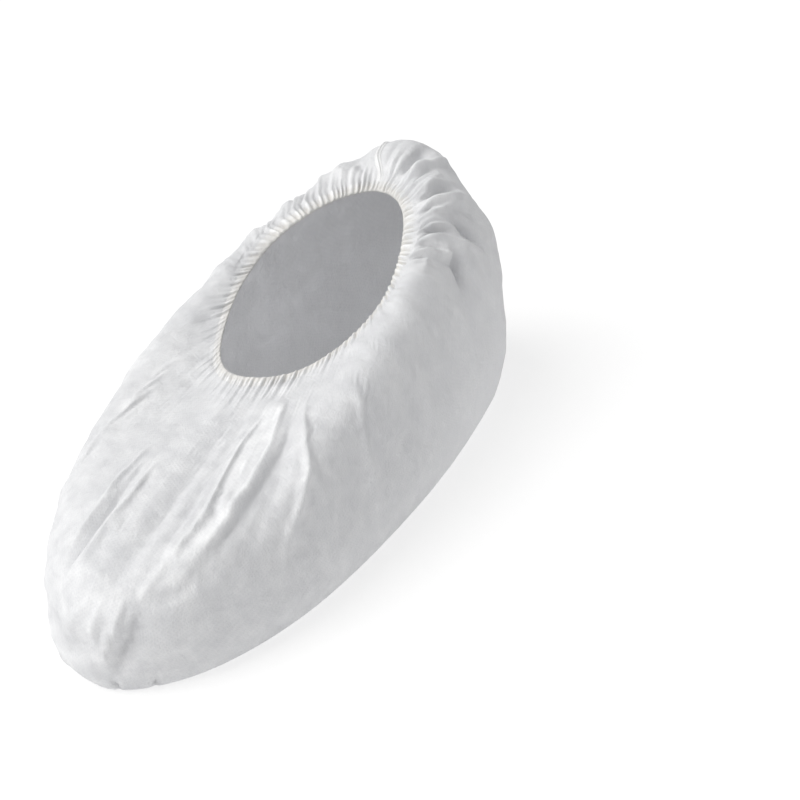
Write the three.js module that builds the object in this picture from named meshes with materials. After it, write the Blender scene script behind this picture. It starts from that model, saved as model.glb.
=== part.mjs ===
// Disposable shoe cover: a hollow pouch of nonwoven cloth, a gathered elastic hem and a heel seam.
// Millimetres. +Z is up, the sole lies on z = 0, the toe points to -Y and the heel to +Y.
import * as THREE from 'three';

// Sizes that drive the cloth
const WALL = 1.4;
const GAP = 0.3;
const SOLE_INSET = 9;
const SIDE_DROP = 0.55;
const SOLE_PULL = 0.6;

// Sizes of the hem round the opening
const HEM_WIDTH = 7;
const HEM_ROLL = 2.6;
const HEM_ROLL_LENGTH = 2.2;
const HEM_BAND = 1.6;
const HEM_FLUTE = 0.7;
const HEM_SCALLOP = 0.35;

// Sizes of the seam up the heel
const SEAM_WIDTH = 4.4;
const SEAM_THICK = 1.1;
const SEAM_FLOOR = 3;
const SEAM_LEAN = 8;

// How finely the cloth is divided: points round it, rings from hem to widest line, rings below it
const AROUND = 144;
const RINGS_ABOVE = 12;
const RINGS_BELOW = 4;
const RING_CROWDING = 1.35;

// Gathers let out of the hem: how many round it, and a slower wave that merges them in pairs
const GATHERS = 36;
const MERGED_GATHERS = 18;
const MERGED_SHARE = 0.55;
const MERGED_REACH = 1.6;
const GATHER_WANDER = 0.5;
const SEAM_CALM_DEG = 9;

// Half of the cover's stations, every 30 degrees from toe to heel; the other half mirrors them.
// out is the widest line of the pouch, rim is the edge of the opening, rise is the slope at the rim
// in degrees, and the pulls say how far the cloth keeps its direction at the rim and the widest line.
const STATIONS = [
  { deg: 0, out: [0, -148, 30], rim: [0, -19.5, 68], rise: -14, rimPull: 52, outPull: 33 },
  { deg: 30, out: [32, -127, 28], rim: [16.6, -8.8, 67], rise: -8, rimPull: 45, outPull: 33 },
  { deg: 60, out: [52, -77, 32], rim: [27.4, 14, 70], rise: 0, rimPull: 32, outPull: 37 },
  { deg: 90, out: [58, -6, 38], rim: [32, 40, 77], rise: 10, rimPull: 22, outPull: 39 },
  { deg: 120, out: [54, 66, 42], rim: [27.4, 66, 86], rise: 19, rimPull: 12, outPull: 36 },
  { deg: 150, out: [40, 124, 47], rim: [15.8, 90.5, 91], rise: 28, rimPull: 22, outPull: 37 },
  { deg: 180, out: [0, 148, 51], rim: [0, 101.8, 92], rise: 36, rimPull: 40, outPull: 45 },
];

// Gathers at the same stations: their height, how far they run from the hem, and how many degrees
// they swing towards the heel on the way down
const GATHERING = [
  { deg: 0, height: 0.9, reach: 16, lean: 0 },
  { deg: 30, height: 0.8, reach: 14, lean: 4 },
  { deg: 60, height: 0.6, reach: 12, lean: 10 },
  { deg: 90, height: 0.9, reach: 16, lean: 18 },
  { deg: 120, height: 1.5, reach: 30, lean: 24 },
  { deg: 150, height: 1.8, reach: 36, lean: 16 },
  { deg: 180, height: 1.5, reach: 30, lean: 0 },
];

// Main folds and dents. Each runs through three places, given as station degrees and share of the
// way down: 0 at the hem, 1 at the widest line, 2 at the edge of the sole. Negative heights are dents.
const FOLDS = [
  { name: 'main pleat', from: [20, 0.03], by: [30, 0.4], to: [21, 0.86], height: 3.2, width: 9 },
  { name: 'pleat groove', from: [34, 0.12], by: [44, 0.42], to: [27, 0.92], height: -2.2, width: 5 },
  { name: 'instep hollow', from: [11, 0.12], by: [13, 0.5], to: [9, 0.8], height: -1.5, width: 7 },
  { name: 'side ridge', from: [50, 0.3], by: [60, 0.65], to: [55, 0.88], height: 2.2, width: 7 },
  { name: 'taut hollow', from: [49, 0.4], by: [49, 0.62], to: [42, 0.85], height: -1.5, width: 7 },
  { name: 'side crease', from: [77, 0.6], by: [78.5, 0.9], to: [78.5, 1.25], height: 1.4, width: 5 },
  { name: 'toe ridge', from: [-20, 0.32], by: [-17, 0.65], to: [-15, 0.9], height: 2.6, width: 6 },
  { name: 'thin toe ridge', from: [-12, 0.36], by: [-2, 0.58], to: [-5, 0.84], height: 1.6, width: 5 },
  { name: 'toe groove', from: [-15, 0.42], by: [-9, 0.62], to: [-10, 0.8], height: -1.6, width: 4 },
  { name: 'far ridge', from: [-57, 0.25], by: [-51, 0.45], to: [-47, 0.62], height: 2, width: 6 },
  { name: 'toe pocket', from: [11, 0.95], by: [10, 1.2], to: [7, 1.4], height: -1.8, width: 6 },
  { name: 'low toe ridge', from: [6, 0.9], by: [3, 1.15], to: [0, 1.4], height: 1.1, width: 4 },
  { name: 'low near ridge', from: [23, 0.9], by: [19, 1.1], to: [15, 1.3], height: 1.4, width: 5 },
  { name: 'heel pocket', from: [133, 0.46], by: [138, 0.57], to: [142, 0.68], height: -2.6, width: 7 },
  { name: 'seam pocket', from: [162, 0.12], by: [165, 0.27], to: [167, 0.45], height: -2.6, width: 5 },
  { name: 'low side ridge', from: [112, 0.55], by: [118, 0.8], to: [120, 1.1], height: 1.2, width: 8 },
  { name: 'low heel ridge', from: [150, 0.6], by: [152, 0.8], to: [153, 1.05], height: 1.3, width: 8 },
  { name: 'far side ridge', from: [-78, 0.35], by: [-80, 0.8], to: [-82, 1.2], height: 1.5, width: 6 },
  { name: 'far hollow', from: [-100, 0.3], by: [-103, 0.7], to: [-104, 1.1], height: -1.4, width: 8 },
  { name: 'far heel ridge', from: [-125, 0.4], by: [-130, 0.7], to: [-132, 1], height: 1.5, width: 7 },
  { name: 'far heel hollow', from: [-150, 0.35], by: [-153, 0.7], to: [-155, 1], height: -1.4, width: 7 },
];
const FOLD_STEPS = 12;

const UP = new THREE.Vector3(0, 0, 1);
const TURN = 360;

// Half a ring of stations and its mirror image, as one closed curve
function closedCurve(rows, read, mirror) {
  const half = rows.map((row) => new THREE.Vector3(...read(row)));
  const other = half.slice(1, -1).reverse().map((point) => point.clone().multiply(mirror));
  return new THREE.CatmullRomCurve3([...half, ...other], true, 'catmullrom', 0.5);
}

const ACROSS = new THREE.Vector3(-1, 1, 1);
const SAME = new THREE.Vector3(1, 1, 1);
const outCurve = closedCurve(STATIONS, (row) => row.out, ACROSS);
const rimCurve = closedCurve(STATIONS, (row) => row.rim, ACROSS);
const bendCurve = closedCurve(STATIONS, (row) => [row.rise, row.rimPull, row.outPull], SAME);
const gatherCurve = closedCurve(GATHERING, (row) => [row.lean, row.height, row.reach], ACROSS);

function share(deg) {
  return (((deg % TURN) + TURN) % TURN) / TURN;
}

// The meridian at one station: hem direction, then one curve to the widest line and one to the sole
function meridian(deg) {
  const at = share(deg);
  const out = outCurve.getPoint(at);
  const rim = rimCurve.getPoint(at);
  const bend = bendCurve.getPoint(at);
  const rise = THREE.MathUtils.degToRad(bend.x);
  const flat = out.clone().sub(rim).setZ(0).normalize();
  const tangent = flat.multiplyScalar(Math.cos(rise)).addScaledVector(UP, Math.sin(rise));
  const start = rim.clone().addScaledVector(tangent, HEM_WIDTH);
  const rimHandle = rim.clone().addScaledVector(tangent, bend.y);
  const outHandle = out.clone().addScaledVector(UP, bend.z);
  const ahead = outCurve.getPoint(share(deg + 1)).sub(outCurve.getPoint(share(deg - 1))).setZ(0);
  const outward = new THREE.Vector3(ahead.y, -ahead.x, 0).normalize();
  const edge = out.clone().setZ(0).addScaledVector(outward, -SOLE_INSET);
  const sideHandle = out.clone().addScaledVector(UP, -SIDE_DROP * out.z);
  const soleHandle = edge.clone().addScaledVector(outward, SOLE_PULL * SOLE_INSET);
  const above = new THREE.CubicBezierCurve3(start, rimHandle, outHandle, out);
  const below = new THREE.CubicBezierCurve3(out, sideHandle, soleHandle, edge);
  return { rim, tangent, above, below };
}

function pointOn(line, down) {
  return down <= 1 ? line.above.getPoint(down) : line.below.getPoint(down - 1);
}

function smoothPoint(deg, down) {
  return pointOn(meridian(deg), down);
}

function smoothNormal(deg, down) {
  if (down > 1.999) {
    return UP.clone().negate();
  }
  const round = smoothPoint(deg + 0.5, down).sub(smoothPoint(deg - 0.5, down));
  const line = meridian(deg);
  const fall = pointOn(line, Math.min(down + 0.01, 2)).sub(pointOn(line, Math.max(down - 0.01, 0)));
  return fall.cross(round).normalize();
}

// Each fold as a row of places on the smooth cloth, with a height that fades in and out
function foldPath(fold) {
  const places = [];
  for (let i = 0; i <= FOLD_STEPS; i += 1) {
    const along = i / FOLD_STEPS;
    const late = along > 0.5;
    const a = late ? fold.by : fold.from;
    const b = late ? fold.to : fold.by;
    const part = late ? along * 2 - 1 : along * 2;
    const deg = THREE.MathUtils.lerp(a[0], b[0], part);
    const down = THREE.MathUtils.lerp(a[1], b[1], part);
    const fade = Math.sqrt(Math.sin(Math.PI * (0.06 + 0.88 * along)));
    places.push({ point: smoothPoint(deg, down), height: fold.height * fade });
  }
  return places;
}

const foldPaths = FOLDS.map((fold) => ({ width: fold.width, places: foldPath(fold) }));

function foldHeight(point) {
  let height = 0;
  for (const fold of foldPaths) {
    let nearest = Infinity;
    let peak = 0;
    for (const place of fold.places) {
      const distance = place.point.distanceTo(point);
      if (distance < nearest) {
        nearest = distance;
        peak = place.height;
      }
    }
    const off = nearest / fold.width;
    if (off < 1.6) {
      height += peak * Math.exp(-2.2 * off * off) * THREE.MathUtils.smoothstep(1.6 - off, 0, 0.5);
    }
  }
  return height;
}

function gatherHeight(deg, down, run) {
  const here = gatherCurve.getPoint(share(deg));
  const [lean, height, reach] = here.toArray();
  const angle = THREE.MathUtils.degToRad(deg - lean * Math.min(down, 1));
  const wander = GATHER_WANDER * (Math.sin(5 * angle + 0.7) + Math.sin(11 * angle));
  const fine = Math.cos(GATHERS * angle + wander) * Math.exp(-Math.pow(run / reach, 2));
  const merged = Math.cos(MERGED_GATHERS * angle + 2 * wander);
  const slow = MERGED_SHARE * merged * Math.exp(-Math.pow(run / (MERGED_REACH * reach), 2));
  return height * (fine + slow);
}

// The seam leaves the hem at the middle of the heel, leans to one side and comes back towards the sole
function seamDeg(down) {
  const away = THREE.MathUtils.smoothstep(down, -0.08, 0.16);
  const back = THREE.MathUtils.smoothstep(down, 0.3, 1.2);
  return 180 + SEAM_LEAN * away * (1 - back);
}

// Folds die out at the sole, and lie flat under the seam
function calm(deg, down) {
  const off = Math.abs(deg - seamDeg(down));
  const atSole = 1 - THREE.MathUtils.smoothstep(down, 1.3, 1.95);
  return atSole * THREE.MathUtils.smoothstep(off, 0.35 * SEAM_CALM_DEG, SEAM_CALM_DEG);
}

// Triangles are gathered in a list of corners, then made into one geometry with flat faces
function meshOf(name, corners, material) {
  const geometry = new THREE.BufferGeometry();
  const values = new Float32Array(corners.length * 3);
  corners.forEach((corner, i) => corner.toArray(values, i * 3));
  geometry.setAttribute('position', new THREE.BufferAttribute(values, 3));
  geometry.computeVertexNormals();
  const mesh = new THREE.Mesh(geometry, material);
  mesh.name = name;
  return mesh;
}

function quad(corners, a, b, c, d, otherWay) {
  if (otherWay) {
    corners.push(a, b, d, b, c, d);
  } else {
    corners.push(a, b, c, a, c, d);
  }
}

// A strip of faces between two closed rings of points, split alike on both sides of the middle
function joinRings(corners, first, second, turned) {
  for (let i = 0; i < first.length; i += 1) {
    const j = (i + 1) % first.length;
    const otherWay = i >= first.length / 2;
    if (turned) {
      quad(corners, first[i], first[j], second[j], second[i], otherWay);
    } else {
      quad(corners, first[i], second[i], second[j], first[j], otherWay);
    }
  }
}

// The flat sole: bars between points that mirror each other, from toe to heel
function closeSole(corners, ring, turned) {
  const half = ring.length / 2;
  for (let i = 0; i < half; i += 1) {
    const near = [ring[i], ring[i + 1]];
    const far = [ring[(ring.length - i) % ring.length], ring[ring.length - i - 1]];
    const cells = [];
    if (i === 0) {
      cells.push([near[0], far[1], near[1]]);
    } else if (i === half - 1) {
      cells.push([near[0], far[0], near[1]]);
    } else {
      cells.push([near[0], far[0], far[1]], [near[0], far[1], near[1]]);
    }
    for (const cell of cells) {
      corners.push(...(turned ? [cell[0], cell[2], cell[1]] : cell));
    }
  }
}

// Shares of the way down at which rings lie, crowded towards the hem
const ringShares = [];
for (let i = 0; i <= RINGS_ABOVE; i += 1) {
  ringShares.push(Math.pow(i / RINGS_ABOVE, RING_CROWDING));
}
for (let i = 1; i <= RINGS_BELOW; i += 1) {
  ringShares.push(1 + i / RINGS_BELOW);
}

// Cloth: an outer and an inner wall over the same folds, closed at the hem edge and at the sole
function fabricCorners() {
  const outer = ringShares.map(() => []);
  const inner = ringShares.map(() => []);
  for (let i = 0; i < AROUND; i += 1) {
    const deg = (i * TURN) / AROUND;
    let run = 0;
    let last = null;
    ringShares.forEach((down, k) => {
      const point = smoothPoint(deg, down);
      run += last ? point.distanceTo(last) : 0;
      last = point;
      const normal = smoothNormal(deg, down);
      const lift = calm(deg, down) * (foldHeight(point) + gatherHeight(deg, down, run));
      outer[k].push(point.clone().addScaledVector(normal, lift));
      inner[k].push(point.clone().addScaledVector(normal, lift - WALL));
    });
  }
  const corners = [];
  const last = ringShares.length - 1;
  for (let k = 0; k < last; k += 1) {
    joinRings(corners, outer[k], outer[k + 1], false);
    joinRings(corners, inner[k], inner[k + 1], true);
  }
  joinRings(corners, outer[0], inner[0], true);
  closeSole(corners, outer[last], false);
  closeSole(corners, inner[last], true);
  return corners;
}

// Hem: a rolled edge and a band, fluted all the way round by the elastic
function hemCorners() {
  const roll = HEM_ROLL / 2;
  const band = HEM_BAND / 2;
  const end = HEM_WIDTH - GAP;
  const section = [
    [0, -roll * 0.6],
    [0, roll * 0.6],
    [HEM_ROLL_LENGTH, roll],
    [end, band],
    [end, -band],
    [HEM_ROLL_LENGTH, -roll],
  ];
  const rings = section.map(() => []);
  for (let i = 0; i < AROUND; i += 1) {
    const deg = (i * TURN) / AROUND;
    const line = meridian(deg);
    const normal = smoothNormal(deg, 0);
    const wave = i % 2 === 0 ? 1 : -1;
    section.forEach(([along, off], k) => {
      const free = 1 - along / end;
      const place = line.rim.clone().addScaledVector(line.tangent, along + HEM_SCALLOP * wave * free);
      rings[k].push(place.addScaledVector(normal, off - WALL / 2 + HEM_FLUTE * wave));
    });
  }
  const corners = [];
  rings.forEach((ring, k) => joinRings(corners, ring, rings[(k + 1) % rings.length], false));
  return corners;
}

// Seam: a narrow strip standing just clear of the heel, from the hem to just above the sole
function seamCorners() {
  const places = ringShares.filter((down) => smoothPoint(180, down).z > SEAM_FLOOR);
  const half = SEAM_WIDTH / 2;
  const top = GAP + SEAM_THICK;
  const section = [
    [-half, GAP],
    [half, GAP],
    [half, top],
    [-half, top],
  ];
  const sides = places.map((down) => {
    const deg = seamDeg(down);
    const point = smoothPoint(deg, down);
    const normal = smoothNormal(deg, down);
    const across = smoothPoint(deg - 1, down).sub(smoothPoint(deg + 1, down)).normalize();
    return section.map(([x, off]) => point.clone().addScaledVector(across, x).addScaledVector(normal, off));
  });
  const corners = [];
  for (let k = 0; k < sides.length - 1; k += 1) {
    joinRings(corners, sides[k], sides[k + 1], false);
  }
  const head = sides[0];
  const foot = sides[sides.length - 1];
  quad(corners, head[0], head[1], head[2], head[3], false);
  quad(corners, foot[3], foot[2], foot[1], foot[0], false);
  return corners;
}

const fabric = new THREE.MeshStandardMaterial({ color: 0xe9e9ea, roughness: 0.86, metalness: 0 });
const hem = new THREE.MeshStandardMaterial({ color: 0xe6e1d6, roughness: 0.88, metalness: 0 });
const seam = new THREE.MeshStandardMaterial({ color: 0xeeeeee, roughness: 0.7, metalness: 0 });

const group = new THREE.Group();
group.name = 'shoe_cover';
group.add(meshOf('fabric_body', fabricCorners(), fabric));
group.add(meshOf('elastic_hem', hemCorners(), hem));
group.add(meshOf('heel_seam', seamCorners(), seam));

// The origin is the middle of the cover's own footprint, on the floor
const middle = new THREE.Box3().setFromObject(group).getCenter(new THREE.Vector3());
group.children.forEach((mesh) => mesh.geometry.translate(-middle.x, -middle.y, 0));

export default group;
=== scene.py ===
import math

import bpy
import numpy as np
from mathutils import Matrix, Vector


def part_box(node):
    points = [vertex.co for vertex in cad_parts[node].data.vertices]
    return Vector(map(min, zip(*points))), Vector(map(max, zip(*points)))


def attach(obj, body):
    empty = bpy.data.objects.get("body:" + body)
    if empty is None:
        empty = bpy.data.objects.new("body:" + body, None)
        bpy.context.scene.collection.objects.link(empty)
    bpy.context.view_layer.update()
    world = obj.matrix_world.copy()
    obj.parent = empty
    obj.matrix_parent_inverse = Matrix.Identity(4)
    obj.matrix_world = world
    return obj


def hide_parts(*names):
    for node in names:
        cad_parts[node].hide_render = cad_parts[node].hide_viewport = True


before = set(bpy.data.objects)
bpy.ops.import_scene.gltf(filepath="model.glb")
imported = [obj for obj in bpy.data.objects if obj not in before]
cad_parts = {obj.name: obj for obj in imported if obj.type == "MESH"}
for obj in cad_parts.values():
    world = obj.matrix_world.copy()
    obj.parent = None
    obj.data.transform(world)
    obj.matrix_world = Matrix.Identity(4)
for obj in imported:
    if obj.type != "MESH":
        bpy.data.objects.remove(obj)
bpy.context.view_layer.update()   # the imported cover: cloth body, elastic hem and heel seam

mm = 0.001


# camera, set as the photograph was taken
photoView = {
    "azimuth": 32.2,
    "elevation": 27.0,
    "roll": -8.6,
    "distance": 1.3216,
    "aim": (0.0, 0.0, 0.045),
    "aimPixel": (277.5, 406.5),   # where the aim point falls in the picture
    "framePixels": 800,
    "focalPixels": 3353,
    "sensor": 36.0,
    "clip": (0.05, 50),
}

# the cover's form, in millimetres, from toe (0 degrees) to heel (180), mirrored on the far side
coverForm = {
    "stations": (   # degrees, widest line x y z, rim x y z, slope at the rim, pull at rim, pull at side
        (0, 0, -148, 30, 0, -19.5, 68, -14, 52, 33),
        (30, 32, -127, 28, 16.6, -8.8, 67, -8, 45, 33),
        (60, 52, -77, 32, 27.4, 14, 70, 0, 32, 37),
        (90, 58, -6, 38, 32, 40, 77, 10, 22, 39),
        (120, 54, 66, 42, 27.4, 66, 86, 19, 12, 36),
        (150, 40, 124, 47, 15.8, 90.5, 91, 28, 22, 37),
        (180, 0, 148, 51, 0, 101.8, 92, 36, 40, 45),
    ),
    "mirrored": (1, 4),     # columns that change sign on the far side
    "hemWidth": 7.0,
    "soleInset": 9.0,
    "sideDrop": 0.55,
    "solePull": 0.6,
    "soleSpine": 0.86,      # length of the sole's middle line, as a share of its edge
    "seamStandOff": 1.4,    # how far the CAD seam stands off the heel
    "seamHalf": 2.2,        # half its width
    "seamLean": 8.0,        # degrees by which the seam wanders to the far side on its way down
    "seamLeaves": (-0.08, 0.16),
    "seamReturns": (0.3, 1.2),
}


def deselectAll():
    if bpy.context.object and bpy.context.object.mode != "OBJECT":
        bpy.ops.object.mode_set(mode="OBJECT")
    bpy.ops.object.select_all(action="DESELECT")


def pickOnly(piece):
    deselectAll()
    piece.select_set(True)
    bpy.context.view_layer.objects.active = piece


def smoothStep(low, high, value):
    t = np.clip((value - low) / (high - low), 0, 1)
    return t * t * (3 - 2 * t)


def ringValues(rows, mirrored, deg):
    half = np.array(rows, float)
    sign = np.ones(half.shape[1])
    sign[list(mirrored)] = -1
    ring = np.concatenate([half, (half * sign)[-2:0:-1]])   # the far side runs back to the toe
    count = len(ring)
    u = np.mod(deg, 360) / (360 / count)
    i = np.floor(u).astype(int) % count
    t = (u - np.floor(u))[:, None]
    a, b, c, d = ring[(i - 1) % count], ring[i], ring[(i + 1) % count], ring[(i + 2) % count]
    return 0.5 * (2 * b + (c - a) * t + (2 * a - 5 * b + 4 * c - d) * t**2 + (3 * b - a - 3 * c + d) * t**3)


def unit(vectors):
    return vectors / np.maximum(np.linalg.norm(vectors, axis=-1, keepdims=True), 1e-9)


def bezier(a, b, c, d, s):
    s = s[:, None, None]
    return (1 - s) ** 3 * a + 3 * (1 - s) ** 2 * s * b + 3 * (1 - s) * s**2 * c + s**3 * d


def hemFrame(deg):
    values = ringValues(coverForm["stations"], coverForm["mirrored"], deg)
    out, rim = values[:, 1:4], values[:, 4:7]
    rise = np.radians(values[:, 7:8])
    flat = unit((out - rim) * (1, 1, 0))
    tangent = flat * np.cos(rise) + np.array((0, 0, 1)) * np.sin(rise)
    return values, out, rim, tangent


def coverPoints(deg, down):
    # down runs from the hem (0) past the widest line (1) and the sole's edge (2) to the sole's middle (3)
    values, out, rim, tangent = hemFrame(deg)
    up = np.array((0.0, 0.0, 1.0))
    start = rim + tangent * coverForm["hemWidth"]
    ahead = hemFrame(deg + 1)[1] - hemFrame(deg - 1)[1]
    outward = unit(np.stack([ahead[:, 1], -ahead[:, 0], 0 * ahead[:, 0]], 1))
    edge = out * (1, 1, 0) - outward * coverForm["soleInset"]
    above = bezier(
        start,
        rim + tangent * values[:, 8:9],
        out + up * values[:, 9:10],
        out,
        np.clip(down, 0, 1),
    )
    below = bezier(
        out,
        out - up * out[:, 2:3] * coverForm["sideDrop"],
        edge + outward * coverForm["soleInset"] * coverForm["solePull"],
        edge,
        np.clip(down - 1, 0, 1),
    )
    lap = np.minimum(down, 0)[:, None, None] * tangent   # negative: millimetres back under the hem
    spine = edge * (0, coverForm["soleSpine"], 0)
    inward = np.clip(down - 2, 0, 1)[:, None, None]
    grid = np.where((down <= 1)[:, None, None], above + lap, below)
    return grid * (1 - inward) + spine * inward


def seamDegrees(down):
    down = np.maximum(down, 0)
    away = smoothStep(*coverForm["seamLeaves"], down)
    back = smoothStep(*coverForm["seamReturns"], down)
    return 180 + coverForm["seamLean"] * away * (1 - back)


def gridNormals(grid):
    around = np.roll(grid, -1, 1) - np.roll(grid, 1, 1)
    along = np.gradient(grid, axis=0)
    return unit(np.cross(along, around))


def centreShift():
    low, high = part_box("heel_seam")
    stations = coverForm["stations"]
    back = (stations[-1][2] + coverForm["seamStandOff"]) * mm
    return Vector((high.x - coverForm["seamHalf"] * mm, high.y - back, 0))


shift = centreShift()   # from the form's own middle to the CAD frame's


def makeCamera():
    a, e, r = (math.radians(photoView[k]) for k in ("azimuth", "elevation", "roll"))
    back = Vector((math.sin(a) * math.cos(e), -math.cos(a) * math.cos(e), math.sin(e)))
    right = Vector((math.cos(a), math.sin(a), 0))
    up = back.cross(right)
    rolledRight = right * math.cos(r) + up * math.sin(r)
    rolledUp = up * math.cos(r) - right * math.sin(r)
    middle = photoView["framePixels"] / 2
    x, y = photoView["aimPixel"]
    focal = photoView["focalPixels"]
    look = -back + rolledRight * ((middle - x) / focal) + rolledUp * ((y - middle) / focal)
    backward = -look.normalized()
    across = (rolledRight - backward * rolledRight.dot(backward)).normalized()
    place = Vector(photoView["aim"]) + shift + back * photoView["distance"]
    deselectAll()
    bpy.ops.object.camera_add(location=place)
    camera = bpy.context.object
    camera.name = "photoCamera"
    turn = Matrix((across, backward.cross(across), backward)).transposed()
    camera.rotation_euler = turn.to_euler()
    camera.data.sensor_width = photoView["sensor"]
    camera.data.lens = focal * photoView["sensor"] / photoView["framePixels"]
    camera.data.clip_start, camera.data.clip_end = photoView["clip"]
    bpy.context.scene.camera = camera
    print("camera placed")


makeCamera()


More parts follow.
